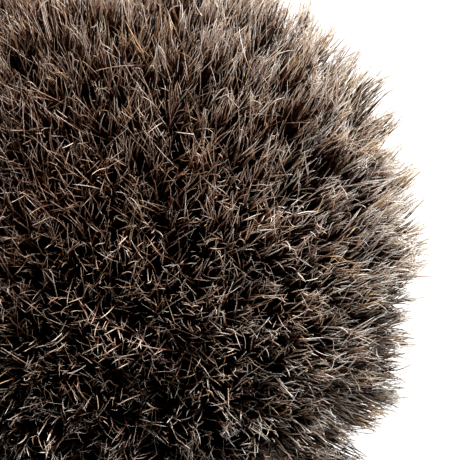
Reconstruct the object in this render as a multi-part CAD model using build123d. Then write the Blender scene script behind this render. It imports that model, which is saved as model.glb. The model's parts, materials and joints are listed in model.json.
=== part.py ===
"""A barber's shaving brush with a screw-in head.

A bundle of badger hair is potted in a plated ferrule, and a threaded stud under the ferrule screws
into a turned wooden handle. Units are millimetres. The brush stands on its foot pad with its axis
on +Z, and the origin is the centre of the face it stands on.
"""

from build123d import *
import math
import os

# ---- driving dimensions ----
BRUSH_HEIGHT = 109.0        # standing face to the crown of the hair
KNOT_RADIUS = 11.7          # hair bundle where it leaves the ferrule
BLOOM_RADIUS = 24.5         # hair at its widest, dry
DOME_HEIGHT = 19.0          # crown above the widest circle
FLARE = ((15.2, 12.5), (20.9, 23.5))    # radius and height over the ferrule's rim, on the way up
COLLAR_RADIUS = 13.2        # plated collar and ferrule
FOOT_RADIUS = 14.6          # plated base cap
BELLY_RADIUS = 14.7         # handle at its fullest
WAIST_RADIUS = 10.9         # handle at its narrowest, where a stand's fork holds it

# ---- heights of the seams, from the floor up ----
CAP_UNDERSIDE = 0.6         # the pad stands proud of the cap by this much
PAD_TOP = 1.6
CAP_TOP = 6.2
GASKET_THICKNESS = 0.4
BELLY_Z = 15.5
WAIST_Z = 30.5
SHOULDER_Z = 40.0           # wood meets the collar
SPIGOT_TOP = 44.0
SEAT_Z = 46.0               # top of the collar, where the head lands
FERRULE_RIM_Z = 58.5
WIDEST_Z = BRUSH_HEIGHT - DOME_HEIGHT

# ---- clearances ----
SLIP = 0.1                  # between turned pieces glued or dropped together
SEAT_GAP = 0.1              # between the tightened head and its seat
GLAND_GAP = 0.08            # round the sealing ring

# ---- screw thread of the head, M12 x 1.5, right-hand ----
PITCH = 1.5
THREAD_CREST = 5.9
THREAD_ROOT = 5.05
CREST_HALF_WIDTH = 0.1
FLANK = math.tan(math.radians(30))
THREAD_CLEARANCE = 0.1      # radial
FLANK_CLEARANCE = 0.08      # each side of the ridge, along the axis
STUD_THREAD = (36.0, 43.4)  # lowest and highest point of the stud's thread
INSERT_THREAD = (32.0, 43.5)

# ---- handle hardware ----
PAD_RADIUS = 11.8
CAP_BOSS = (7.4, 2.0)       # radius and height of the boss that centres the cap
CAP_EDGE = 1.2              # the cap's top and bottom edges stand in from its widest by this
CAP_NECK = 1.5              # and the groove under its upper bead by this
CAP_GROOVE_Z = 4.8
CAP_WIDEST_Z = 2.7
SLUG_RADIUS = 7.0
SLUG_SPAN = (9.0, 24.5)
INSERT_RADIUS = 8.0
INSERT_FLANGE = (10.0, 1.0)
FLANGE_DROP = 0.05          # the insert's flange lies this far below the seat
SPIGOT_RADIUS = 10.5
WALL_STEP = 0.4             # the plain walls of collar and ferrule stand in from their beads
EDGE_BREAK = 0.3
RING_HEIGHTS = (9.3, 10.6)  # fine grooves turned in the wood
RING_CUT = (0.15, 0.4)      # how far outside the wood the cut is centred, and its radius
SCREW_RADIUS = 2.45         # M5
SCREW_HEAD_RADIUS = 4.9
SCREW_TOP = 16.4
SCREW_FACE = 1.75           # underside of the screw's head
SCREW_PLAY = 0.3            # round the screw in the cap
HEX_FLATS = 3.0
HEX_DEPTH = 2.2

# ---- head ----
CUP_BORE = 11.95
CUP_FLOOR = 49.3
STUD_FLANGE = (8.0, 1.4)
STUD_NECK = 4.9
GLUE_TOP = 51.3
PLUG_TOP = 54.4
PLUG_RADIUS = 11.6
TIED_RADIUS = 10.6          # hair where the cord binds it
CORD_RADIUS = 0.4
CORD_TURNS = 3
RING_RADIUS = 11.2          # sealing ring, centre of its section
RING_SECTION = 0.7


def turned(outline):
    """A solid of revolution about Z from a closed outline drawn as (radius, height)."""
    return revolve(Plane.XZ * make_face(outline), Axis.Z)


def lathe(*points):
    """A turned solid whose outline is straight between its (radius, height) points."""
    return turned(Polyline(*points, close=True).edges())


def rod(radius, bottom, top):
    """A plain cylinder on the axis between two heights."""
    standing = (Align.CENTER, Align.CENTER, Align.MIN)
    return Pos(0, 0, bottom) * Cylinder(radius, top - bottom, align=standing)


def tube(inner, outer, bottom, top):
    """A plain ring on the axis between two heights."""
    return rod(outer, bottom, top) - rod(inner, bottom - 1, top + 1)


def edges_at(part, radius, height):
    """The circular edges of a turned part at one radius and height."""
    def matches(edge):
        return (edge.geom_type == GeomType.CIRCLE and abs(edge.radius - radius) < 1e-3
                and abs(edge.arc_center.Z - height) < 1e-3)
    return part.edges().filter_by(matches)


def thread_ridge(span, widen, lift):
    """The helical ridge of the thread between two heights.

    widen fattens each flank along the axis and lift raises the crest, so the same ridge, made
    larger, cuts the groove of the insert.
    """
    bottom, top = span
    inner, outer = THREAD_ROOT - 0.3, THREAD_CREST + lift
    half_in = CREST_HALF_WIDTH + (THREAD_CREST - inner) * FLANK + widen
    half_out = CREST_HALF_WIDTH + (THREAD_CREST - outer) * FLANK + widen
    # whole pitches below the lowest thread, so every ridge shares one phase
    start = STUD_THREAD[0] - PITCH * math.ceil((STUD_THREAD[0] - bottom) / PITCH + 1)
    path = Pos(0, 0, start) * Helix(PITCH, top - start + PITCH, THREAD_ROOT)
    profile = Plane.XZ * make_face(Polyline(
        (inner, start - half_in), (outer, start - half_out),
        (outer, start + half_out), (inner, start + half_in), close=True).edges())
    return sweep(profile, path, is_frenet=True) & rod(outer + 1, bottom, top)


# ---- handle ----

def foot_pad():
    """Rubber disc, let into the cap, that the brush stands on."""
    pad = rod(PAD_RADIUS, 0, PAD_TOP)
    return fillet(edges_at(pad, PAD_RADIUS, 0), 0.3)


def base_cap():
    """Plated brass foot: recess for the pad, countersunk hole, and a boss that centres the wood."""
    boss_radius, boss_height = CAP_BOSS
    recess = PAD_RADIUS + SLIP
    edge = FOOT_RADIUS - CAP_EDGE
    neck = FOOT_RADIUS - CAP_NECK
    step = (FOOT_RADIUS - 0.9, CAP_GROOVE_Z - 0.4)
    bead = (FOOT_RADIUS - 0.6, (CAP_GROOVE_Z + CAP_TOP) / 2)
    shank = SCREW_RADIUS + SCREW_PLAY
    sink = SCREW_HEAD_RADIUS + SCREW_PLAY
    sink_bottom = PAD_TOP + 0.2
    outline = [
        Polyline((recess, CAP_UNDERSIDE), (edge, CAP_UNDERSIDE)),
        ThreePointArc((edge, CAP_UNDERSIDE), (FOOT_RADIUS, CAP_WIDEST_Z), step),
        Polyline(step, (neck, CAP_GROOVE_Z - 0.2), (neck, CAP_GROOVE_Z + 0.1)),
        ThreePointArc((neck, CAP_GROOVE_Z + 0.1), bead, (edge, CAP_TOP)),
        Polyline((edge, CAP_TOP), (boss_radius, CAP_TOP), (boss_radius, CAP_TOP + boss_height),
                 (shank, CAP_TOP + boss_height), (shank, sink_bottom + sink - shank), (sink, sink_bottom),
                 (sink, PAD_TOP), (recess, PAD_TOP), (recess, CAP_UNDERSIDE)),
    ]
    return turned(Curve() + outline)


def base_gasket():
    """Fibre washer that seals the end grain of the wood against the cap."""
    return tube(CAP_BOSS[0] + SLIP, FOOT_RADIUS - 2.2, CAP_TOP, CAP_TOP + GASKET_THICKNESS)


def base_screw():
    """Countersunk socket screw that draws the cap up to the weight."""
    cone = SCREW_HEAD_RADIUS - SCREW_RADIUS
    screw = lathe((0, SCREW_FACE), (SCREW_HEAD_RADIUS, SCREW_FACE), (SCREW_HEAD_RADIUS, SCREW_FACE + 0.15),
                  (SCREW_RADIUS, SCREW_FACE + 0.15 + cone), (SCREW_RADIUS, SCREW_TOP - 0.6),
                  (SCREW_RADIUS - 0.6, SCREW_TOP), (0, SCREW_TOP))
    socket = Pos(0, 0, SCREW_FACE) * extrude(RegularPolygon(HEX_FLATS / 2, 6, major_radius=False), HEX_DEPTH)
    return screw - socket


def weight_slug():
    """Steel slug that gives the handle its low balance, bored for the base screw."""
    bottom, top = SLUG_SPAN
    slug = chamfer(rod(SLUG_RADIUS, bottom, top).edges().filter_by(GeomType.CIRCLE), 0.5)
    return slug - rod(SCREW_RADIUS + 0.05, bottom - 1, SCREW_TOP + 1)


def handle_grip():
    """Turned and lacquered wood: full belly, narrow waist, and a spigot for the collar."""
    bottom = CAP_TOP + GASKET_THICKNESS
    foot = FOOT_RADIUS - 1.5
    profile = Spline((foot, bottom), (BELLY_RADIUS, BELLY_Z), (WAIST_RADIUS, WAIST_Z),
                     (COLLAR_RADIUS - 0.5, SHOULDER_Z), tangents=[(0.5, 1), (0.42, 1)])
    closing = Polyline((COLLAR_RADIUS - 0.5, SHOULDER_Z), (SPIGOT_RADIUS, SHOULDER_Z),
                       (SPIGOT_RADIUS, SPIGOT_TOP), (0, SPIGOT_TOP), (0, bottom), (foot, bottom))
    grip = turned(Curve() + [profile, closing])
    grip -= rod(CAP_BOSS[0] + SLIP, bottom - 1, SLUG_SPAN[0] - 0.2)
    grip -= rod(SLUG_RADIUS + SLIP, bottom, SLUG_SPAN[1] + 0.5)
    grip -= rod(INSERT_RADIUS + SLIP, INSERT_THREAD[0] - 0.5, SPIGOT_TOP + 1)
    # two fine decorative rings cut by the point of the skew chisel
    for height in RING_HEIGHTS:
        slice_of_wood = Pos(0, 0, height) * Circle(BELLY_RADIUS + 1) & grip
        radius = max(edge.radius for edge in slice_of_wood.edges().filter_by(GeomType.CIRCLE))
        grip -= Pos(0, 0, height) * Torus(radius + RING_CUT[0], RING_CUT[1])
    return grip


def thread_insert():
    """Flanged brass insert glued into the wood, barbed outside and threaded inside."""
    flange_radius, flange_height = INSERT_FLANGE
    top = SEAT_Z - FLANGE_DROP
    body = rod(INSERT_RADIUS, INSERT_THREAD[0], top) + rod(flange_radius, top - flange_height, top)
    for step in range(5):
        z = INSERT_THREAD[0] + 1.5 + 2.0 * step
        body -= lathe((INSERT_RADIUS - 0.5, z), (INSERT_RADIUS + 1, z), (INSERT_RADIUS + 1, z + 0.9),
                      (INSERT_RADIUS, z + 0.9))
    body -= rod(THREAD_ROOT + THREAD_CLEARANCE, INSERT_THREAD[0] - 1, top + 1)
    body -= rod(THREAD_CREST + 0.25, INSERT_THREAD[1], top + 1)
    return body - thread_ridge(INSERT_THREAD, FLANK_CLEARANCE, THREAD_CLEARANCE)


def collar_gasket():
    """Thin fibre washer between the wood's shoulder and the collar."""
    return tube(SPIGOT_RADIUS + SLIP, COLLAR_RADIUS - 0.6, SHOULDER_Z, SHOULDER_Z + GASKET_THICKNESS)


def neck_collar():
    """Plated brass collar over the wooden spigot, held down by the insert's flange."""
    bottom = SHOULDER_Z + GASKET_THICKNESS
    flange_radius, flange_height = INSERT_FLANGE
    wall = COLLAR_RADIUS - WALL_STEP
    over_spigot = SPIGOT_RADIUS + SLIP
    over_insert = INSERT_RADIUS + SLIP
    over_flange = flange_radius + SLIP
    ledge = SEAT_Z - FLANGE_DROP - flange_height
    roof = SPIGOT_TOP + 0.05
    outline = [
        Polyline((over_spigot, bottom), (wall, bottom)),
        ThreePointArc((wall, bottom), (COLLAR_RADIUS + 0.35, bottom + 1.1), (wall, bottom + 2.2)),
        Polyline((wall, bottom + 2.2), (wall, SEAT_Z - EDGE_BREAK), (wall - EDGE_BREAK, SEAT_Z),
                 (over_flange, SEAT_Z), (over_flange, ledge), (over_insert, ledge), (over_insert, roof),
                 (over_spigot, roof), (over_spigot, bottom)),
    ]
    return turned(Curve() + outline)


# ---- head ----

def seal_ring():
    """Rubber ring, captive in the ferrule's underside, that keeps water out of the thread."""
    return Pos(0, 0, SEAT_Z + SEAT_GAP + RING_SECTION) * Torus(RING_RADIUS, RING_SECTION)


def head_ferrule():
    """Plated brass cup that holds the potted hair, with a gland for the ring underneath."""
    bottom = SEAT_Z + SEAT_GAP
    rim = FERRULE_RIM_Z
    wall = COLLAR_RADIUS - WALL_STEP
    gland_in = RING_RADIUS - RING_SECTION - GLAND_GAP
    gland_out = RING_RADIUS + RING_SECTION + GLAND_GAP
    gland_top = bottom + 2 * RING_SECTION + GLAND_GAP
    hole = THREAD_CREST + SLIP
    outline = [
        Polyline((hole, bottom), (gland_in, bottom), (gland_in, gland_top), (gland_out, gland_top),
                 (gland_out, bottom), (wall - EDGE_BREAK, bottom), (wall, bottom + EDGE_BREAK),
                 (wall, bottom + 1.4)),
        ThreePointArc((wall, bottom + 1.4), (COLLAR_RADIUS + 0.5, bottom + 2.9), (wall, bottom + 4.4)),
        Polyline((wall, bottom + 4.4), (wall, rim - 1.6)),
        ThreePointArc((wall, rim - 1.6), (COLLAR_RADIUS + 0.1, rim - 0.8), (wall - 0.1, rim)),
        Polyline((wall - 0.1, rim), (CUP_BORE + EDGE_BREAK, rim), (CUP_BORE, rim - EDGE_BREAK),
                 (CUP_BORE, CUP_FLOOR), (hole, CUP_FLOOR), (hole, bottom)),
    ]
    return turned(Curve() + outline)


def head_stud():
    """Steel stud set in the cup's floor: flange above, neck and thread below."""
    flange_radius, flange_height = STUD_FLANGE
    low, high = STUD_THREAD
    shoulder = SEAT_Z + SEAT_GAP
    core = lathe((0, low - 2), (STUD_NECK - 0.8, low - 2), (STUD_NECK, low - 1.2), (STUD_NECK, low),
                 (THREAD_ROOT, low), (THREAD_ROOT, high), (STUD_NECK, high), (STUD_NECK, shoulder),
                 (THREAD_CREST, shoulder), (THREAD_CREST, CUP_FLOOR), (flange_radius, CUP_FLOOR),
                 (flange_radius, CUP_FLOOR + flange_height), (0, CUP_FLOOR + flange_height))
    return core + thread_ridge(STUD_THREAD, 0, 0)


def glue_bed():
    """Epoxy between the cup's floor and the plug, poured over the stud's flange."""
    flange_radius, flange_height = STUD_FLANGE
    return lathe((flange_radius, CUP_FLOOR), (CUP_BORE, CUP_FLOOR), (CUP_BORE, GLUE_TOP), (0, GLUE_TOP),
                 (0, CUP_FLOOR + flange_height), (flange_radius, CUP_FLOOR + flange_height))


def knot_plug():
    """Cast resin puck that locks the roots of the hair."""
    return chamfer(rod(PLUG_RADIUS, GLUE_TOP, PLUG_TOP).edges().filter_by(GeomType.CIRCLE), 0.4)


def binding_cord():
    """Waxed cord wound round the hair just above the plug."""
    radius = TIED_RADIUS + CORD_RADIUS + 0.02
    start = PLUG_TOP + CORD_RADIUS + 0.05
    path = Pos(0, 0, start) * Helix(2.1 * CORD_RADIUS, 2.1 * CORD_RADIUS * CORD_TURNS, radius)
    profile = Plane(origin=path @ 0, z_dir=path % 0) * Circle(CORD_RADIUS)
    return sweep(profile, path, is_frenet=True)


def bristles():
    """Outer shape of the dry hair: bound at the root, flared, and domed at the tips."""
    crown = (0, BRUSH_HEIGHT)
    tied_top = PLUG_TOP + 2.1 * CORD_RADIUS * CORD_TURNS + 2.2 * CORD_RADIUS
    way_up = [(radius, FERRULE_RIM_Z + rise) for radius, rise in FLARE]
    flare = Spline((KNOT_RADIUS, FERRULE_RIM_Z + 0.5), *way_up, (BLOOM_RADIUS, WIDEST_Z),
                   tangents=[(0.05, 1), (0, 1)])
    crest = math.sin(math.radians(45))
    dome = Spline((BLOOM_RADIUS, WIDEST_Z), (BLOOM_RADIUS * crest, WIDEST_Z + DOME_HEIGHT * crest), crown,
                  tangents=[(0, 1), (-1, 0)])
    stem = Polyline(crown, (0, PLUG_TOP), (TIED_RADIUS, PLUG_TOP), (TIED_RADIUS, tied_top),
                    (KNOT_RADIUS, FERRULE_RIM_Z - 0.3), (KNOT_RADIUS, FERRULE_RIM_Z + 0.5))
    return turned(Curve() + [flare, dome, stem])


PIECES = {
    "foot_pad": foot_pad,
    "base_cap": base_cap,
    "base_gasket": base_gasket,
    "base_screw": base_screw,
    "weight_slug": weight_slug,
    "handle_grip": handle_grip,
    "thread_insert": thread_insert,
    "collar_gasket": collar_gasket,
    "neck_collar": neck_collar,
    "seal_ring": seal_ring,
    "head_ferrule": head_ferrule,
    "head_stud": head_stud,
    "glue_bed": glue_bed,
    "knot_plug": knot_plug,
    "binding_cord": binding_cord,
    "bristles": bristles,
}


def main():
    os.makedirs("parts", exist_ok=True)
    for name, make in PIECES.items():
        piece = make()
        export_step(piece, f"parts/{name}.step")
        print(f"{name}: {len(piece.solids())} solid, {sum(s.volume for s in piece.solids()):.1f} mm3")


main()
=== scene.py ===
# %% [markdown]
# # A barber's shaving brush
# The CAD frame holds the brush's sizes, its joints and its hard parts. This script finishes each part, and
# it grows the head hair by hair, because the head is what anyone looks at first. Lengths are metres, +Z runs
# up the axis of the brush, and the brush stands on the floor at z = 0.

# %% Open the frame
import json
import math

import bpy
import numpy as np
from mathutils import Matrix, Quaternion, Vector


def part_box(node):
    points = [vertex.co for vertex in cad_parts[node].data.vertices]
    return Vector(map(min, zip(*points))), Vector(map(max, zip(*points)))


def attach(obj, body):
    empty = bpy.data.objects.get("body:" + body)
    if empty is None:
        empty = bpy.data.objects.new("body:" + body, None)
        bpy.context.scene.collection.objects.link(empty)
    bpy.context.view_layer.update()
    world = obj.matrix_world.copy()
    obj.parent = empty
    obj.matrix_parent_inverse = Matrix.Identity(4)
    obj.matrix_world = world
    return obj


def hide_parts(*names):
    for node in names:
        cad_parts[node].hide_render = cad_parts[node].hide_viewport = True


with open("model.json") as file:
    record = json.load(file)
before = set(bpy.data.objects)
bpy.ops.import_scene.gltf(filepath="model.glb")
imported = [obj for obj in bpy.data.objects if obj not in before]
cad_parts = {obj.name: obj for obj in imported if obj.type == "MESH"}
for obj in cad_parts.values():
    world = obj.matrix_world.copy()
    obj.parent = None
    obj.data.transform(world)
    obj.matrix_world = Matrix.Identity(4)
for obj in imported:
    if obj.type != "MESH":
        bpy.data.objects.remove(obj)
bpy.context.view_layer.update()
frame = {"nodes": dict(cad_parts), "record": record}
MM = 0.001
SEED = 31
rng = np.random.default_rng(SEED)

# %% [markdown]
# ## Camera
# The camera looks down into the hair from close above, a little off the axis of the brush and rolled, so
# that the head fills the view and only its right edge shows. It could be aimed by hand, but three angles and
# two offsets say the same thing and can be changed one at a time. A lens this close shows the hairs' ends
# fanning away from one point on the dome, which is where the camera looks straight down them.

# %% Camera
hair_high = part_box("bristles")[1]
DOME_RISE = 19 * MM          # from the widest level of the hair up to its crown
widest_z = hair_high.z - DOME_RISE
bloom = hair_high.x
head = Vector((0, 0, widest_z))

AZIMUTH = math.radians(-45)
TILT = math.radians(12)
ROLL = math.radians(-15)
DISTANCE = 0.17
FIELD = 33.2 * MM            # width of the view at the head
SIDESTEP = 10.35 * MM
RISE = 2.1 * MM

toward = Vector((math.sin(AZIMUTH) * math.sin(TILT), -math.cos(AZIMUTH) * math.sin(TILT), math.cos(TILT)))
turn = toward.to_track_quat("Z", "Y") @ Quaternion((0, 0, 1), ROLL)
right, up = turn @ Vector((1, 0, 0)), turn @ Vector((0, 1, 0))
aim = head + right * SIDESTEP + up * RISE

camera = bpy.data.objects.new("camera", bpy.data.cameras.new("camera"))
bpy.context.scene.collection.objects.link(camera)
camera.location = aim + toward * DISTANCE
camera.rotation_mode = "QUATERNION"
camera.rotation_quaternion = turn
camera.data.lens = camera.data.sensor_width * DISTANCE / FIELD
camera.data.clip_start = 10 * MM
bpy.context.scene.camera = camera
print("lens", round(camera.data.lens), "mm")
print("the brush's axis leans", [round(v, 2) for v in (right.z, up.z)], "across and up the view")

# %% [markdown]
# ## Floor
# The brush stands on a light table. A plain white floor lit by the lamps alone would go grey in the shadow
# of the brush, so this one also glows a little, which keeps it white behind the dark hair.

# %% Floor
def floor_material():
    """White laminate over a light table: it glows a little, and its stipple varies the polish."""
    made = bpy.data.materials.new("light table")
    made.use_nodes = True
    nodes, links = made.node_tree.nodes, made.node_tree.links
    nodes.clear()

    stipple = nodes.new("NodeFrame")
    stipple.label = "stipple of the laminate"
    place = nodes.new("ShaderNodeTexCoord")
    place.label = "place on the floor"
    grain = nodes.new("ShaderNodeTexNoise")
    grain.label = "fine stipple"
    grain.inputs["Scale"].default_value = 900
    polish = nodes.new("ShaderNodeMapRange")
    polish.label = "uneven polish"
    polish.inputs["To Min"].default_value = 0.45
    polish.inputs["To Max"].default_value = 0.65

    table = nodes.new("NodeFrame")
    table.label = "lit from below"
    surface = nodes.new("ShaderNodeBsdfPrincipled")
    surface.label = "glowing laminate"
    surface.inputs["Base Color"].default_value = (0.5, 0.5, 0.5, 1)
    surface.inputs["Emission Color"].default_value = (1, 1, 1, 1)
    surface.inputs["Emission Strength"].default_value = 0.30
    out = nodes.new("ShaderNodeOutputMaterial")
    out.label = "floor"

    groups = {stipple: (place, grain, polish), table: (surface, out)}
    for row, (frame_node, members) in enumerate(groups.items()):
        for column, node in enumerate(members):
            node.parent = frame_node
            node.location = (210 * column, -330 * row)

    links.new(place.outputs["Object"], grain.inputs["Vector"])
    links.new(grain.outputs["Fac"], polish.inputs["Value"])
    links.new(polish.outputs["Result"], surface.inputs["Roughness"])
    links.new(surface.outputs[0], out.inputs["Surface"])
    return made


bpy.ops.mesh.primitive_circle_add(vertices=96, radius=4, fill_type="NGON")
floor = bpy.context.object
floor.name = "floor"
floor.data.materials.append(floor_material())
print("floor", round(floor.dimensions.x, 1), "m across")

# %% [markdown]
# ## Lamps
# The hair is read by its shadows, so the light has to come from one side. One soft lamp stands beyond the
# top of the view and a little above the head, and a weaker one skims the right edge. Both stand well off and
# are large, because a small lamp close by would leave a hard edge across the floor where its light ends.

# %% Lamps
LAMP_DISTANCE = 1.2


def lamp(name, direction, size, watts, colour=(1, 1, 1)):
    """A square soft lamp that faces the head from a direction given as a vector of about length 1."""
    made = bpy.data.objects.new(name, bpy.data.lights.new(name, "AREA"))
    bpy.context.scene.collection.objects.link(made)
    made.location = head + direction * LAMP_DISTANCE
    made.rotation_mode = "QUATERNION"
    made.rotation_quaternion = direction.to_track_quat("Z", "Y")
    made.data.size = size
    made.data.energy = watts
    made.data.color = colour
    return made


key = lamp("key", up * 0.90 + right * 0.16 + toward * 0.16, 0.44, 62, (1, 0.98, 0.96))
rim = lamp("rim", right * 0.95 + up * 0.10 + toward * 0.05, 0.48, 28)

print("lamps", [(light.name, light.data.energy) for light in (key, rim)], "W")

# %% [markdown]
# ## Room
# A faint dome of light, warm from the brown hair it has bounced off, keeps the gaps in the hair from going
# dead black. A brighter dome would be softer, but it would fill the gaps and hide the tufts. The same dome
# would look nearly black behind the brush, so what the camera sees past the floor is a grey wall, and the
# dome only lights.

# %% Room
world = bpy.data.worlds.new("studio")
bpy.context.scene.world = world
world.use_nodes = True
nodes, links = world.node_tree.nodes, world.node_tree.links
nodes.clear()

dome = nodes.new("NodeFrame")
dome.label = "light from all round"
glow = nodes.new("ShaderNodeBackground")
glow.label = "weak dome of light"
glow.inputs["Color"].default_value = (1, 0.93, 0.87, 1)
glow.inputs["Strength"].default_value = 0.135

room = nodes.new("NodeFrame")
room.label = "what is seen past the floor"
wall = nodes.new("ShaderNodeBackground")
wall.label = "grey wall behind the brush"
wall.inputs["Color"].default_value = (0.33, 0.335, 0.34, 1)
ray = nodes.new("ShaderNodeLightPath")
ray.label = "seen, or only lighting"
either = nodes.new("ShaderNodeMixShader")
either.label = "wall where it is seen"
out = nodes.new("ShaderNodeOutputWorld")
out.label = "studio"

groups = {dome: (glow,), room: (wall, ray, either, out)}
for row, (frame_node, members) in enumerate(groups.items()):
    for column, node in enumerate(members):
        node.parent = frame_node
        node.location = (210 * column, -330 * row)

links.new(ray.outputs["Is Camera Ray"], either.inputs["Fac"])
links.new(glow.outputs[0], either.inputs[1])
links.new(wall.outputs[0], either.inputs[2])
links.new(either.outputs[0], out.inputs["Surface"])
bpy.context.scene.view_settings.view_transform = "Standard"
print("dome", round(glow.inputs["Strength"].default_value, 3), "strong")

# %% [markdown]
# ## Turned metal
# The collar, ferrule and foot are nickel plated, the threaded insert is bare brass, and the stud, weight and
# screw are steel. All of them come off a lathe, so they share one make-up and differ in numbers. The tool
# leaves fine rings, which have to go round the axis on a wall and round the centre on a flat face. They
# could be cut into the mesh, but they are finer than a hair, and a noise that reads only the radius and the
# height puts them in both places. Handling leaves a patchy film that dulls the polish, and water dries to
# small spots.

# %% Turned metal
def turned_metal(name, colour, polish, rings, tarnish, spots):
    """Metal off a lathe: its bare colour, its roughness when clean, how deep the tool's rings are in
    micrometres, how much of its brightness the film takes, and how strongly dried water shows."""
    made = bpy.data.materials.new(name)
    made.use_nodes = True
    nodes, links = made.node_tree.nodes, made.node_tree.links
    nodes.clear()

    tool = nodes.new("NodeFrame")
    tool.label = "rings left by the tool"
    place = nodes.new("ShaderNodeTexCoord")
    place.label = "place on the brush"
    level = nodes.new("ShaderNodeVectorMath")
    level.label = "drop the height"
    level.operation = "MULTIPLY"
    level.inputs[1].default_value = (1, 1, 0)
    radius = nodes.new("ShaderNodeVectorMath")
    radius.label = "distance from the axis"
    radius.operation = "LENGTH"
    split = nodes.new("ShaderNodeSeparateXYZ")
    split.label = "height"
    section = nodes.new("ShaderNodeCombineXYZ")
    section.label = "radius and height only"
    groove = nodes.new("ShaderNodeTexNoise")
    groove.label = "uneven fine rings"
    groove.inputs["Scale"].default_value = 5200
    groove.inputs["Detail"].default_value = 3
    relief = nodes.new("ShaderNodeBump")
    relief.label = "depth of the rings"
    relief.inputs["Strength"].default_value = 0.6
    relief.inputs["Distance"].default_value = rings * 1e-6

    film = nodes.new("NodeFrame")
    film.label = "film from handling"
    patch = nodes.new("ShaderNodeTexNoise")
    patch.label = "patches a few millimetres wide"
    patch.inputs["Scale"].default_value = 190
    patch.inputs["Detail"].default_value = 5
    patch.inputs["Roughness"].default_value = 0.6
    cover = nodes.new("ShaderNodeMapRange")
    cover.label = "where the film lies"
    cover.inputs["From Min"].default_value = 0.42
    cover.inputs["From Max"].default_value = 0.72
    shade = nodes.new("ShaderNodeMix")
    shade.label = "bare metal to dulled"
    shade.data_type = "RGBA"
    shade.inputs["A"].default_value = (*colour, 1)
    shade.inputs["B"].default_value = (*(c * (1 - tarnish) for c in colour), 1)

    water = nodes.new("NodeFrame")
    water.label = "dried water"
    drop = nodes.new("ShaderNodeTexVoronoi")
    drop.label = "distance from a drop's middle"
    drop.inputs["Scale"].default_value = 620
    drop.inputs["Randomness"].default_value = 1
    rim = nodes.new("ShaderNodeValToRGB")
    rim.label = "thicker at the drop's rim"
    rim.color_ramp.elements[0].position = 0.16
    rim.color_ramp.elements[0].color = (0.25, 0.25, 0.25, 1)
    rim.color_ramp.elements[1].position = 0.30
    rim.color_ramp.elements[1].color = (0, 0, 0, 1)
    ridge = rim.color_ramp.elements.new(0.24)
    ridge.color = (1, 1, 1, 1)
    strength = nodes.new("ShaderNodeMath")
    strength.label = "how strongly it shows"
    strength.operation = "MULTIPLY"
    strength.inputs[1].default_value = spots
    chalk = nodes.new("ShaderNodeMix")
    chalk.label = "chalk over the metal"
    chalk.data_type = "RGBA"
    chalk.inputs["B"].default_value = (0.62, 0.61, 0.58, 1)

    gloss = nodes.new("NodeFrame")
    gloss.label = "polish"
    dull = nodes.new("ShaderNodeMapRange")
    dull.label = "film dulls the polish"
    dull.inputs["To Min"].default_value = polish
    dull.inputs["To Max"].default_value = polish + 0.16
    rough = nodes.new("ShaderNodeMath")
    rough.label = "chalk dulls it more"
    rough.operation = "ADD"
    metal = nodes.new("ShaderNodeBsdfPrincipled")
    metal.label = name
    metal.inputs["Metallic"].default_value = 1
    out = nodes.new("ShaderNodeOutputMaterial")
    out.label = "turned part"

    groups = {tool: (place, level, radius, split, section, groove, relief), film: (patch, cover, shade),
              water: (drop, rim, strength, chalk), gloss: (dull, rough, metal, out)}
    for row, (frame_node, members) in enumerate(groups.items()):
        for column, node in enumerate(members):
            node.parent = frame_node
            node.location = (210 * column, -330 * row)

    links.new(place.outputs["Object"], level.inputs[0])
    links.new(level.outputs["Vector"], radius.inputs[0])
    links.new(place.outputs["Object"], split.inputs[0])
    links.new(radius.outputs["Value"], section.inputs["X"])
    links.new(split.outputs["Z"], section.inputs["Y"])
    links.new(section.outputs[0], groove.inputs["Vector"])
    links.new(groove.outputs["Fac"], relief.inputs["Height"])
    links.new(place.outputs["Object"], patch.inputs["Vector"])
    links.new(patch.outputs["Fac"], cover.inputs["Value"])
    links.new(cover.outputs["Result"], shade.inputs["Factor"])
    links.new(place.outputs["Object"], drop.inputs["Vector"])
    links.new(drop.outputs["Distance"], rim.inputs["Fac"])
    links.new(rim.outputs["Color"], strength.inputs[0])
    links.new(strength.outputs[0], chalk.inputs["Factor"])
    links.new(shade.outputs["Result"], chalk.inputs["A"])
    links.new(chalk.outputs["Result"], metal.inputs["Base Color"])
    links.new(cover.outputs["Result"], dull.inputs["Value"])
    links.new(dull.outputs["Result"], rough.inputs[0])
    links.new(strength.outputs[0], rough.inputs[1])
    links.new(rough.outputs[0], metal.inputs["Roughness"])
    links.new(relief.outputs["Normal"], metal.inputs["Normal"])
    links.new(metal.outputs[0], out.inputs["Surface"])
    return made


finish = {
    "plating": turned_metal("nickel plate", (0.78, 0.76, 0.73), 0.09, 0.5, 0.10, 0.10),
    "brass": turned_metal("machined brass", (0.74, 0.53, 0.24), 0.20, 2.5, 0.30, 0),
    "steel": turned_metal("machined steel", (0.56, 0.56, 0.57), 0.26, 3.0, 0.20, 0),
}
print("metals", list(finish))

# %% [markdown]
# ## Lacquered wood
# The handle is turned from a blank of dark, close-grained wood. The tree's rings run up the blank, and its
# heart is well outside it, so the cut surface shows long figure that bends as the handle swells and narrows.
# A pattern wrapped round the handle would have to be bent to match. A solid one needs no bending, because
# the shape carves it just as the lathe carves the wood. Short dark pores lie along the grain, and a clear
# coat lies over both.

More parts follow.
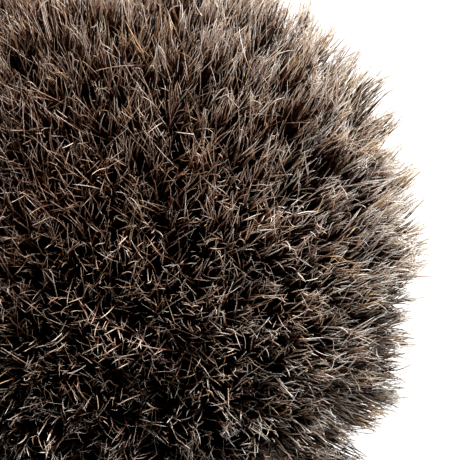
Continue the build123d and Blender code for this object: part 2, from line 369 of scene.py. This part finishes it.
# %% Lacquered wood
def lacquered_wood(name, early, late, ring):
    """Turned wood under clear lacquer, from the colours of its early and late growth and the width of a ring
    in metres. The rings are circles round a heart that lies beside the handle, pushed about by a noise that
    changes slowly along the grain."""
    made = bpy.data.materials.new(name)
    made.use_nodes = True
    nodes, links = made.node_tree.nodes, made.node_tree.links
    nodes.clear()

    figure = nodes.new("NodeFrame")
    figure.label = "growth rings"
    place = nodes.new("ShaderNodeTexCoord")
    place.label = "place on the brush"
    heart = nodes.new("ShaderNodeMapping")
    heart.label = "measured from the tree's heart"
    heart.inputs["Location"].default_value = (0.031, 0.012, 0)
    heart.inputs["Rotation"].default_value = (math.radians(4), math.radians(-5), 0)
    heart.inputs["Scale"].default_value = (1, 1, 0.10)
    wander = nodes.new("ShaderNodeTexNoise")
    wander.label = "slow wander of the rings"
    wander.inputs["Scale"].default_value = 95
    wander.inputs["Detail"].default_value = 3
    push = nodes.new("ShaderNodeVectorMath")
    push.label = "push the rings about"
    push.operation = "MULTIPLY_ADD"
    push.inputs[1].default_value = (0.0035, 0.0035, 0)
    rings = nodes.new("ShaderNodeTexWave")
    rings.label = "rings"
    rings.wave_type = "RINGS"
    rings.rings_direction = "Z"
    rings.wave_profile = "SAW"
    rings.inputs["Scale"].default_value = math.pi / (10 * ring)
    rings.inputs["Distortion"].default_value = 1.1
    rings.inputs["Detail"].default_value = 2
    rings.inputs["Detail Scale"].default_value = 1.4
    tone = nodes.new("ShaderNodeValToRGB")
    tone.label = "early wood to late wood"
    tone.color_ramp.elements[0].color = (*early, 1)
    tone.color_ramp.elements[0].position = 0.1
    tone.color_ramp.elements[1].color = (*late, 1)
    tone.color_ramp.elements[1].position = 0.95

    grain = nodes.new("NodeFrame")
    grain.label = "pores and fibres"
    stretch = nodes.new("ShaderNodeMapping")
    stretch.label = "drawn out along the grain"
    stretch.inputs["Scale"].default_value = (1, 1, 0.045)
    fibre = nodes.new("ShaderNodeTexNoise")
    fibre.label = "fibres"
    fibre.inputs["Scale"].default_value = 2600
    fibre.inputs["Detail"].default_value = 4
    pore = nodes.new("ShaderNodeTexNoise")
    pore.label = "pores"
    pore.inputs["Scale"].default_value = 1500
    pore.inputs["Detail"].default_value = 2
    open_pore = nodes.new("ShaderNodeMapRange")
    open_pore.label = "only the deepest are open"
    open_pore.inputs["From Min"].default_value = 0.60
    open_pore.inputs["From Max"].default_value = 0.70
    streak = nodes.new("ShaderNodeMix")
    streak.label = "fibres vary the tone"
    streak.data_type = "RGBA"
    streak.blend_type = "OVERLAY"
    streak.inputs["Factor"].default_value = 0.55
    dark = nodes.new("ShaderNodeMix")
    dark.label = "dark pores"
    dark.data_type = "RGBA"
    dark.inputs["B"].default_value = (*(c * 0.25 for c in late), 1)

    coat = nodes.new("NodeFrame")
    coat.label = "lacquer"
    sunk = nodes.new("ShaderNodeBump")
    sunk.label = "pores sink the surface"
    sunk.invert = True
    sunk.inputs["Strength"].default_value = 0.5
    sunk.inputs["Distance"].default_value = 0.00003
    wear = nodes.new("ShaderNodeMapRange")
    wear.label = "wood is duller in the pores"
    wear.inputs["To Min"].default_value = 0.34
    wear.inputs["To Max"].default_value = 0.60
    wood = nodes.new("ShaderNodeBsdfPrincipled")
    wood.label = name
    wood.inputs["IOR"].default_value = 1.5
    wood.inputs["Coat Weight"].default_value = 0.85
    wood.inputs["Coat Roughness"].default_value = 0.09
    out = nodes.new("ShaderNodeOutputMaterial")
    out.label = "handle"

    groups = {figure: (place, heart, wander, push, rings, tone),
              grain: (stretch, fibre, pore, open_pore, streak, dark),
              coat: (sunk, wear, wood, out)}
    for row, (frame_node, members) in enumerate(groups.items()):
        for column, node in enumerate(members):
            node.parent = frame_node
            node.location = (210 * column, -360 * row)

    links.new(place.outputs["Object"], heart.inputs["Vector"])
    links.new(heart.outputs[0], wander.inputs["Vector"])
    links.new(wander.outputs["Color"], push.inputs[0])
    links.new(heart.outputs[0], push.inputs[2])
    links.new(push.outputs[0], rings.inputs["Vector"])
    links.new(rings.outputs["Fac"], tone.inputs["Fac"])
    links.new(place.outputs["Object"], stretch.inputs["Vector"])
    links.new(stretch.outputs[0], fibre.inputs["Vector"])
    links.new(stretch.outputs[0], pore.inputs["Vector"])
    links.new(pore.outputs["Fac"], open_pore.inputs["Value"])
    links.new(tone.outputs["Color"], streak.inputs["A"])
    links.new(fibre.outputs["Fac"], streak.inputs["B"])
    links.new(streak.outputs["Result"], dark.inputs["A"])
    links.new(open_pore.outputs["Result"], dark.inputs["Factor"])
    links.new(dark.outputs["Result"], wood.inputs["Base Color"])
    links.new(open_pore.outputs["Result"], sunk.inputs["Height"])
    links.new(sunk.outputs["Normal"], wood.inputs["Normal"])
    links.new(open_pore.outputs["Result"], wear.inputs["Value"])
    links.new(wear.outputs["Result"], wood.inputs["Roughness"])
    links.new(wood.outputs[0], out.inputs["Surface"])
    return made


RING_WIDTH = 1.4 * MM
EARLY_WOOD = (0.044, 0.0165, 0.0095)
LATE_WOOD = (0.015, 0.0065, 0.0045)
finish["wood"] = lacquered_wood("dark turned wood", EARLY_WOOD, LATE_WOOD, RING_WIDTH)
print("wood rings", round(RING_WIDTH / MM, 1), "mm wide")

# %% [markdown]
# ## Moulded, pressed and cast parts
# Rubber, vulcanised fibre, epoxy and waxed linen have no tool marks and no direction. Each could have its
# own recipe, but they differ only in their speckle, in how strongly it shows and in how rough the skin is.
# So one function serves all four: coarse clouds, a fine speckle and a grain on the surface.

# %% Moulded, pressed and cast parts
def moulded(name, colour, speck, speck_width, roughness, grain):
    """A part from a mould or a press: the colours of its body and its specks, the width of a speck in metres,
    its roughness, and the depth of its grain in micrometres."""
    made = bpy.data.materials.new(name)
    made.use_nodes = True
    nodes, links = made.node_tree.nodes, made.node_tree.links
    nodes.clear()

    body = nodes.new("NodeFrame")
    body.label = "colour through the body"
    place = nodes.new("ShaderNodeTexCoord")
    place.label = "place on the brush"
    cloud = nodes.new("ShaderNodeTexNoise")
    cloud.label = "clouds"
    cloud.inputs["Scale"].default_value = 0.12 / speck_width
    cloud.inputs["Detail"].default_value = 3
    fine = nodes.new("ShaderNodeTexNoise")
    fine.label = "specks"
    fine.inputs["Scale"].default_value = 1 / speck_width
    fine.inputs["Detail"].default_value = 2
    both = nodes.new("ShaderNodeMath")
    both.label = "specks gather in the clouds"
    both.operation = "MULTIPLY"
    shown = nodes.new("ShaderNodeMapRange")
    shown.label = "where specks show"
    shown.inputs["From Min"].default_value = 0.24
    shown.inputs["From Max"].default_value = 0.42
    tint = nodes.new("ShaderNodeMix")
    tint.label = "body to speck"
    tint.data_type = "RGBA"
    tint.inputs["A"].default_value = (*colour, 1)
    tint.inputs["B"].default_value = (*speck, 1)

    skin = nodes.new("NodeFrame")
    skin.label = "skin"
    relief = nodes.new("ShaderNodeBump")
    relief.label = "grain"
    relief.inputs["Strength"].default_value = 0.7
    relief.inputs["Distance"].default_value = grain * 1e-6
    dull = nodes.new("ShaderNodeMapRange")
    dull.label = "clouds vary the polish"
    dull.inputs["To Min"].default_value = roughness - 0.08
    dull.inputs["To Max"].default_value = roughness + 0.08
    part = nodes.new("ShaderNodeBsdfPrincipled")
    part.label = name
    out = nodes.new("ShaderNodeOutputMaterial")
    out.label = "moulded part"

    groups = {body: (place, cloud, fine, both, shown, tint), skin: (relief, dull, part, out)}
    for row, (frame_node, members) in enumerate(groups.items()):
        for column, node in enumerate(members):
            node.parent = frame_node
            node.location = (210 * column, -330 * row)

    links.new(place.outputs["Object"], cloud.inputs["Vector"])
    links.new(place.outputs["Object"], fine.inputs["Vector"])
    links.new(cloud.outputs["Fac"], both.inputs[0])
    links.new(fine.outputs["Fac"], both.inputs[1])
    links.new(both.outputs[0], shown.inputs["Value"])
    links.new(shown.outputs["Result"], tint.inputs["Factor"])
    links.new(tint.outputs["Result"], part.inputs["Base Color"])
    links.new(fine.outputs["Fac"], relief.inputs["Height"])
    links.new(relief.outputs["Normal"], part.inputs["Normal"])
    links.new(cloud.outputs["Fac"], dull.inputs["Value"])
    links.new(dull.outputs["Result"], part.inputs["Roughness"])
    links.new(part.outputs[0], out.inputs["Surface"])
    return made


finish["rubber"] = moulded("black rubber", (0.018, 0.018, 0.019), (0.07, 0.068, 0.065), 0.12 * MM, 0.68, 8)
finish["fibre"] = moulded("vulcanised fibre", (0.10, 0.030, 0.019), (0.19, 0.09, 0.06), 0.25 * MM, 0.60, 10)
finish["resin"] = moulded("amber epoxy", (0.36, 0.20, 0.06), (0.50, 0.33, 0.14), 1.2 * MM, 0.16, 4)
finish["cord"] = moulded("waxed linen", (0.44, 0.34, 0.21), (0.62, 0.53, 0.38), 0.15 * MM, 0.50, 60)
print("finishes", list(finish))

# %% [markdown]
# ## Finishes onto the parts
# The CAD parts are already in the scene, each with one empty slot that names its stuff. Their meshes stay as
# they are, and only the material in the slot is put in.

# %% Finishes onto the CAD parts
for entry in frame["record"]["subparts"]:
    if entry["material_slot"] in finish:
        for held in frame["nodes"][entry["node"]].material_slots:
            held.material = finish[entry["material_slot"]]

# %% [markdown]
# ## The hair: where each one starts and ends
# A badger knot is thousands of hairs set in resin and left to fan out. Blender can grow hair from a particle
# system, but the hairs here have to be meshes, so that they can be exported and so that each can be placed
# where this knot's hairs go. Each hair gets a place in the bundle, spread as seeds are on a sunflower so
# that none lie on top of each other. A dome above carries the tips, with the same area for each. Dry hair
# clings together in small tufts, and the tufts in larger locks, so the tips are pulled towards the nearest
# tuft's centre and the gaps between them open. At the crown the hairs stand closer and cling less.

# %% Starts and ends
HAIRS = 30000
TIED_RADIUS = 10.45 * MM     # of the bundle inside the cord
PLUG_RADIUS = 10.2 * MM      # of the bundle where it leaves the resin
OVERHANG = math.radians(98)  # how far round from the crown the tips go
DISC_RADIUS = 33.4 * MM      # a flat disc with the dome's area
DOME_WIDTH, DOME_HEIGHT = 0.975, 0.965    # the tips' dome as a share of the CAD one
SCATTER = 0.004              # of the disc's radius
TUFT_SPACING = 1.4 * MM
LOCK_SPACING = 3.8 * MM
TUFT_CLING = (0.6, 1.05)     # the weakest and the strongest tuft
HAIR_CLING = (0.75, 1.1)     # how little and how much a single hair gives way to its tuft
HEAD_CLING = (0.2, 1.2)      # share of that at the crown and at the edge of the head
LOCK_PULL = 0.24
start_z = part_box("binding_cord")[1].z + 0.1 * MM
plug_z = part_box("knot_plug")[1].z


def sunflower(count):
    """Evenly spread places in a disc of radius 1: the radius grows as the square root of the place's number,
    and each is turned from the last by the golden angle."""
    number = np.arange(count) + 0.5
    radius = np.sqrt(number / count)
    angle = number * math.pi * (3 - math.sqrt(5))
    return radius[:, None] * np.column_stack([np.cos(angle), np.sin(angle)])


def nearest_centre(disc, spacing):
    """The nearest of a grid of centres, each shifted at random in its own square, looked for in the nine
    squares round each hair. Also gives a number for each centre, the same for all hairs that share it."""
    margin = 1.3
    count = int(2 * margin / spacing) + 3
    shift = rng.random((count, count, 2))
    square = np.floor((disc + margin) / spacing).astype(int)
    best = np.full(len(disc), np.inf)
    centre = np.zeros_like(disc)
    number = np.zeros(len(disc), int)
    for step in np.ndindex(3, 3):
        near = np.clip(square + step - 1, 0, count - 1)
        candidate = (near + shift[near[:, 0], near[:, 1]]) * spacing - margin
        gap = ((disc - candidate) ** 2).sum(1)
        closer = gap < best
        best[closer] = gap[closer]
        centre[closer] = candidate[closer]
        number[closer] = near[closer, 0] * count + near[closer, 1]
    return centre, number


def on_dome(disc):
    """A place on the dome for a place in the disc: the cosine of the turn down from the crown falls with the
    square of the disc's radius, which keeps areas in proportion."""
    radius = np.linalg.norm(disc, axis=1)
    outward = disc / np.maximum(radius, 1e-9)[:, None]
    cosine = 1 - np.minimum(radius, 1) ** 2 * (1 - math.cos(OVERHANG))
    sine = np.sqrt(1 - cosine ** 2)
    return np.column_stack([bloom * DOME_WIDTH * sine[:, None] * outward,
                            widest_z + DOME_RISE * DOME_HEIGHT * cosine])


def unit(vectors):
    """The vectors at length 1."""
    return vectors / np.maximum(np.linalg.norm(vectors, axis=-1, keepdims=True), 1e-12)


def across_head(crown, edge):
    """A value for each hair: one at the crown, another at the edge of the head, and even steps between."""
    return crown + (edge - crown) * outer


place = sunflower(HAIRS) + rng.normal(0, SCATTER, (HAIRS, 2))
place /= np.maximum(np.linalg.norm(place, axis=1), 1)[:, None]
outer = np.linalg.norm(place, axis=1)    # 0 in the middle of the bundle, 1 at its edge
tuft_centre, tuft = nearest_centre(place, TUFT_SPACING / DISC_RADIUS)
lock_centre, lock = nearest_centre(place, LOCK_SPACING / DISC_RADIUS)
tufts, locks = tuft.max() + 1, lock.max() + 1

cling = rng.uniform(*TUFT_CLING, tufts)[tuft] * rng.uniform(*HAIR_CLING, HAIRS)
cling = np.minimum(cling * across_head(*HEAD_CLING), 1)
to_tuft = (tuft_centre - place) * cling[:, None]
to_lock = (lock_centre - place) * LOCK_PULL * outer[:, None]
tip_disc = place + to_tuft + to_lock
potted = np.column_stack([place * PLUG_RADIUS, np.full(HAIRS, plug_z)])
root = np.column_stack([place * TIED_RADIUS, np.full(HAIRS, start_z)])
tip = on_dome(tip_disc)
print(HAIRS, "hairs in", len(np.unique(tuft)), "tufts and", len(np.unique(lock)), "locks")

# %% [markdown]
# ## The hair: its path
# Each hair starts in the resin plug, passes the cord and leans outward more and more, so its path is one
# Bezier curve with a handle at each end. No two are alike: lengths differ, whole tufts lean, and the last
# few millimetres curl, tighter towards the tip. The curl is walked in short steps, which keeps its length
# however hard it turns. About one hair in thirty is hooked. A few unusually long tufts would stick out of
# the head like horns, so the tufts' extra length has a limit.

# %% Paths
NODES_ALONG = 5              # on the Bezier
NODES_CURL = 5               # on the arc at the tip
NODE_SHIFT = 0.45            # of the gap between two nodes, so that those of different hairs don't line up
TUFT_GROWTH = 0.038          # spread of the tufts' lengths, as a share of the usual length
LONGEST_TUFT = 0.045
LOCK_GROWTH = 0.012
HAIR_GROWTH = 0.028
LONGEST_HAIR = 0.010
TUFT_UNEVEN = (0.4, 1)       # share of that spread at the crown and at the edge of the head
HAIR_UNEVEN = (0.5, 1)
TUFT_SHIFT = 0.30 * MM       # of the tips, to any side
HAIR_SHIFT = 0.25 * MM
FAN = 0.32                   # outward lean at the cord, for the outermost hair
TUFT_LEAN = 0.14             # of the tips, to any side
HAIR_LEAN = (0.28, 0.08)     # the same, at the crown and at the edge
CURL_LENGTH = (2.0, 6.0)     # millimetres
CURL_TURN = 0.28             # spread, in radians
CURL_TIGHTENS = 1.5          # 1 would be an arc of a circle
HOOKED = 0.035               # share of the hairs
HOOK_LENGTH = (0.9, 2.2)     # millimetres
HOOK_TURN = (0.7, 1.6)       # radians
spread_z = widest_z - 42 * MM    # the tips point away from here

reach = tip - np.array([0, 0, start_z])
tuft_growth = np.minimum(rng.normal(0, TUFT_GROWTH, tufts), LONGEST_TUFT)
lock_growth = rng.normal(0, LOCK_GROWTH, locks)
grow = 1 + tuft_growth[tuft] * across_head(*TUFT_UNEVEN) + lock_growth[lock]
grow += LONGEST_HAIR - np.abs(rng.normal(0, HAIR_GROWTH, HAIRS)) * across_head(*HAIR_UNEVEN)
tip = np.array([0, 0, start_z]) + reach * grow[:, None]
tuft_shift = rng.normal(0, TUFT_SHIFT, (tufts, 3))
tip += tuft_shift[tuft] * outer[:, None] + rng.normal(0, HAIR_SHIFT, (HAIRS, 3))

leave = unit(np.column_stack([place * FAN, np.ones(HAIRS)]))
arrive = unit(tip - np.array([0, 0, spread_z]))
tuft_lean = rng.normal(0, TUFT_LEAN, (tufts, 3))[tuft] * outer[:, None]
hair_lean = rng.normal(0, 1, (HAIRS, 3)) * across_head(*HAIR_LEAN)[:, None]
arrive = unit(arrive + tuft_lean + hair_lean)
length = np.linalg.norm(tip - root, axis=1)

curl_length = rng.uniform(*CURL_LENGTH, HAIRS) * MM
curl_turn = np.abs(rng.normal(0, CURL_TURN, HAIRS))
hooked = rng.random(HAIRS) < HOOKED
curl_turn[hooked] = rng.uniform(*HOOK_TURN, hooked.sum())
curl_length[hooked] = rng.uniform(*HOOK_LENGTH, hooked.sum()) * MM


def bezier(start, start_handle, end_handle, end, share):
    """Points and directions on a cubic curve between two ends, pulled by a handle at each, for each share
    of the way from 0 to 1."""
    s = share[..., None]
    a, b, c, d = (p[:, None, :] for p in (start, start_handle, end_handle, end))
    points = (1 - s) ** 3 * a + 3 * (1 - s) ** 2 * s * b + 3 * (1 - s) * s ** 2 * c + s ** 3 * d
    along = (1 - s) ** 2 * (b - a) + 2 * (1 - s) * s * (c - b) + s ** 2 * (d - c)
    return points, unit(along)


straight = 1 - curl_length / length    # share of each hair before its curl
share = np.linspace(0, 1, NODES_ALONG)[None, :] + np.zeros((HAIRS, 1))
share[:, 1:-1] += rng.uniform(-NODE_SHIFT, NODE_SHIFT, (HAIRS, NODES_ALONG - 2)) / (NODES_ALONG - 1)
share *= straight[:, None]
third = (length / 3)[:, None]
points, heading = bezier(root, root + leave * third, tip - arrive * third, tip, share)

heading = heading[:, -1]
sideways = rng.normal(0, 1, (HAIRS, 3))
sideways = unit(sideways - (sideways * heading).sum(1, keepdims=True) * heading)
step = (np.arange(NODES_CURL) + 0.5) / NODES_CURL
angle = curl_turn[:, None] * step ** CURL_TIGHTENS
stride = (curl_length / NODES_CURL)[:, None]
ahead = np.cumsum(np.cos(angle) * stride, axis=1)[..., None] * heading[:, None, :]
aside = np.cumsum(np.sin(angle) * stride, axis=1)[..., None] * sideways[:, None, :]
points = np.concatenate([potted[:, None], points, points[:, -1:] + ahead + aside], axis=1)
print("hair length", round(length.min() / MM, 1), "to", round(length.max() / MM, 1), "mm")

# %% [markdown]
# ## The hair: tubes
# A hair is a tenth of a millimetre thick and there are thousands, so each is a tube with three sides, which
# smooth shading rounds off. The tube is three points round each node of the path, and it closes to a point
# at the tip and with one face at the root. A hair is thinnest at its tip, swells to its full width within a
# few millimetres and thins again slowly towards its root.

# %% Tubes
SIDES = 3
NODES = 1 + NODES_ALONG + NODES_CURL    # one in the resin, then the Bezier, then the curl
HAIR_RADIUS = (0.038, 0.058)            # millimetres, at the crown and at the edge of the head
RADIUS_SPREAD = 0.18                    # from hair to hair, as a share
SWELL = 4.5 * MM                        # from the tip to the widest place
BLUNTNESS = 0.55                        # 1 would be a straight cone
THINNING = 45 * MM                      # from the tip to the thin end of the root
ROOT_LOSS = 0.3                         # of the radius, at that end
thickness = across_head(*HAIR_RADIUS) * MM * np.exp(rng.normal(0, RADIUS_SPREAD, HAIRS))

gaps = np.linalg.norm(np.diff(points, axis=1), axis=2)
from_tip = np.concatenate([np.cumsum(gaps[:, ::-1], axis=1)[:, ::-1], np.zeros((HAIRS, 1))], axis=1)
swell = np.clip(from_tip / SWELL, 0, 1) ** BLUNTNESS
thin = 1 - ROOT_LOSS * np.clip(from_tip / THINNING, 0, 1)
radius = thickness[:, None] * (swell * thin)

along = unit(np.gradient(points, axis=1))
flat = np.cross(heading, sideways)[:, None, :]
side = unit(np.cross(along, np.broadcast_to(flat, along.shape)))
other = np.cross(along, side)
corner = np.arange(SIDES) * 2 * math.pi / SIDES
ring = (np.cos(corner)[None, None, :, None] * side[:, :-1, None, :]
        + np.sin(corner)[None, None, :, None] * other[:, :-1, None, :])
ring = points[:, :-1, None, :] + ring * radius[:, :-1, None, None]
vertices = np.concatenate([ring.reshape(HAIRS, -1, 3), points[:, -1:]], axis=1)
print("thickest hair", round(2 * radius.max() / MM, 3), "mm")


def tube_faces():
    """The faces of one hair, as numbers of its own vertices: four-sided ones between each ring and the next,
    three up to the tip and one across the root."""
    node, corner = np.meshgrid(np.arange(NODES - 2), np.arange(SIDES), indexing="ij")
    after = (corner + 1) % SIDES
    quads = np.stack([node * SIDES + corner, node * SIDES + after,
                      (node + 1) * SIDES + after, (node + 1) * SIDES + corner], axis=-1).reshape(-1, 4)
    last, end = (NODES - 2) * SIDES, (NODES - 1) * SIDES
    round_tip = np.arange(SIDES)
    tips = np.stack([last + round_tip, last + (round_tip + 1) % SIDES, np.full(SIDES, end)], axis=-1)
    return quads, np.concatenate([tips, [[2, 1, 0]]])


quads, triangles = tube_faces()
print("each hair", len(quads), "four-sided faces and", len(triangles), "triangles")

# %% [markdown]
# ## The hair: its colours
# Badger hair is banded: pale at the tip, near black below it, and grey-brown down at the root. The bands
# could be painted by a texture, but on tubes this thin a texture turns to noise. Instead each stretch of
# each hair wears one of a set of tones, from dark to pale, in three families for the tips and one for the
# roots. A tuft leans to one family and one brightness, and single hairs stray from it, as they do in a real
# pelt. The tips at the crown are painted darker than those round the edge of the head, as painted shade for
# the weaker light that falls on the crown, and their pale band is shorter. Each tip is brightest at its very
# end and darkens over the next millimetres, partly the hair's own pale tip and partly a painted highlight
# where the tips catch the light.

# %% Tones
LEVELS = 7
DARK = np.array([0.017, 0.0055, 0.0033])
REDDEN = np.array([1.5, 2.1, 2.5])      # how fast a darkening hair loses its red, green and blue
FAMILIES = {
    "fawn": (0.68, 0.628, 0.562),
    "ash": (0.68, 0.658, 0.632),
    "ginger": (0.58, 0.45, 0.29),
    "root": (0.42, 0.34, 0.275),
}
FAWN, ASH, GINGER, ROOT = range(len(FAMILIES))


def hair_tone(name, colour):
    """One tone of hair: satin, with little shine, because the hair is dry and its scales are lifted."""
    made = bpy.data.materials.new(name)
    made.use_nodes = True
    nodes, links = made.node_tree.nodes, made.node_tree.links
    nodes.clear()

    strand = nodes.new("NodeFrame")
    strand.label = "dry hair"
    keratin = nodes.new("ShaderNodeBsdfPrincipled")
    keratin.label = "keratin of one tone"
    keratin.inputs["Base Color"].default_value = (*colour, 1)
    keratin.inputs["Roughness"].default_value = 0.52
    keratin.inputs["IOR"].default_value = 1.55
    keratin.inputs["Specular IOR Level"].default_value = 0.08
    out = nodes.new("ShaderNodeOutputMaterial")
    out.label = "hair"
    for column, node in enumerate((keratin, out)):
        node.parent = strand
        node.location = (300 * column, 0)

    links.new(keratin.outputs[0], out.inputs["Surface"])
    return made


tones = []
for family, pale in FAMILIES.items():
    for level in range(LEVELS):
        weight = (level / (LEVELS - 1)) ** REDDEN
        tones.append(hair_tone(f"hair {family} {level}", DARK * (1 - weight) + np.array(pale) * weight))


def smooth(low, high, value):
    """0 below low, 1 above high, and an even S between."""
    x = np.clip((value - low) / (high - low), 0, 1)
    return x * x * (3 - 2 * x)


# Each pair is a value at the crown and one at the edge of the head. Lengths here are millimetres from the
# tip, and lightness runs from 0, dark, to 1, pale.
PALE_BAND = (1.9, 2.6)
BAND_BLEND = 3
BAND_SHIFT = 1.1                        # from hair to hair
# At the crown the tips' lightness and its limit are set lower: painted shade for the weaker light there.
TIP_LIGHTNESS_WITH_PAINTED_SHADE = (0.64, 1.26)
TIP_LIMIT_WITH_PAINTED_SHADE = (0.76, 1.08)
# Lightness lost away from the very tip: partly the hair's own pale tip, partly a painted highlight.
TIP_FADE_WITH_PAINTED_HIGHLIGHT = (0.06, 0.12)                     # lightness lost in each millimetre
ROOT_STARTS, ROOT_FULL = 22, 34
ROOT_SHIFT = 2                          # times the shift of the pale band
ROOT_LIGHTNESS = 0.85
HAIR_BRIGHT, TUFT_BRIGHT = 0.13, 0.17   # spread of the lightness
HAIR_WARM, TUFT_WARM = 0.9, 0.6         # spread of the warmth
GINGER_ABOVE, ASH_BELOW = 1.35, -0.35   # warmth
DITHER = 0.3                            # of a level, so that no step between two levels shows

middle = (from_tip[:, :-1] + from_tip[:, 1:]) / 2 / MM    # of each stretch
shift = rng.normal(0, BAND_SHIFT, HAIRS)
bright = rng.normal(0, HAIR_BRIGHT, HAIRS) + rng.normal(0, TUFT_BRIGHT, tufts)[tuft] * outer

band = (across_head(*PALE_BAND) + shift)[:, None]
past_band = smooth(band, band + BAND_BLEND, middle)
# Tip lightness with painted light in it: painted shade at the crown, a painted highlight at the very tip.
lit = (across_head(*TIP_LIGHTNESS_WITH_PAINTED_SHADE) + bright)[:, None] - across_head(*TIP_FADE_WITH_PAINTED_HIGHLIGHT)[:, None] * middle
pale_tip_with_painted_light = np.minimum(lit * (1 - past_band), across_head(*TIP_LIMIT_WITH_PAINTED_SHADE)[:, None])
root_shift = ROOT_SHIFT * shift[:, None]
rootward = smooth(ROOT_STARTS + root_shift, ROOT_FULL + root_shift, middle)
lightness = pale_tip_with_painted_light + (ROOT_LIGHTNESS + bright[:, None]) * rootward
dither = rng.uniform(-DITHER, DITHER, lightness.shape)
level = np.clip(np.round(lightness * (LEVELS - 1) + dither), 0, LEVELS - 1).astype(int)

warmth = rng.normal(0, TUFT_WARM, tufts)[tuft] + rng.normal(0, HAIR_WARM, HAIRS)
family = np.where(warmth > GINGER_ABOVE, GINGER, np.where(warmth < ASH_BELOW, ASH, FAWN))
family = np.where(rootward > 0, ROOT, family[:, None])
tone = family * LEVELS + level
print("tones used", len(np.unique(tone)), "of", len(tones))

# %% [markdown]
# ## The hair: pieces
# All the hairs in one mesh would be too heavy to handle, and an object for each would be far too many. They
# are shared out by direction into pieces of equal size, like the slices of a cake. Every piece turns and
# rises with the head, and together they take the place of the plain solid that stands for the hair in the
# CAD.

# %% Pieces
SLICES = 10


def hair_piece(name, chosen):
    """One mesh of the chosen hairs: the vertices of each in turn, and the same faces for each, counted on."""
    count = len(chosen)
    per_hair = vertices.shape[1]
    base = (np.arange(count) * per_hair)[:, None, None]
    corners = np.concatenate([(quads[None] + base).reshape(-1), (triangles[None] + base).reshape(-1)])
    sizes = np.concatenate([np.full(count * len(quads), 4), np.full(count * len(triangles), 3)])
    on_quads = np.repeat(tone[chosen][:, :NODES - 2], SIDES, axis=1)
    on_tips = np.repeat(tone[chosen][:, -1:], SIDES + 1, axis=1)
    mesh = bpy.data.meshes.new(name)
    mesh.vertices.add(count * per_hair)
    mesh.vertices.foreach_set("co", vertices[chosen].ravel())
    mesh.loops.add(len(corners))
    mesh.loops.foreach_set("vertex_index", corners)
    mesh.polygons.add(len(sizes))
    mesh.polygons.foreach_set("loop_start", np.cumsum(sizes) - sizes)
    mesh.polygons.foreach_set("material_index", np.concatenate([on_quads.ravel(), on_tips.ravel()]))
    mesh.update(calc_edges=True)
    mesh.shade_smooth()
    for made in tones:
        mesh.materials.append(made)
    piece = bpy.data.objects.new(name, mesh)
    bpy.context.scene.collection.objects.link(piece)
    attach(piece, "head")
    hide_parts("bristles")
    return piece


order = np.argsort(np.arctan2(place[:, 1], place[:, 0]))
for number, chosen in enumerate(np.array_split(order, SLICES), start=1):
    piece = hair_piece(f"hair_slice_{number}", chosen)
    faces = len(chosen) * (2 * len(quads) + len(triangles))
    print(piece.name, len(chosen), "hairs,", faces, "triangles")
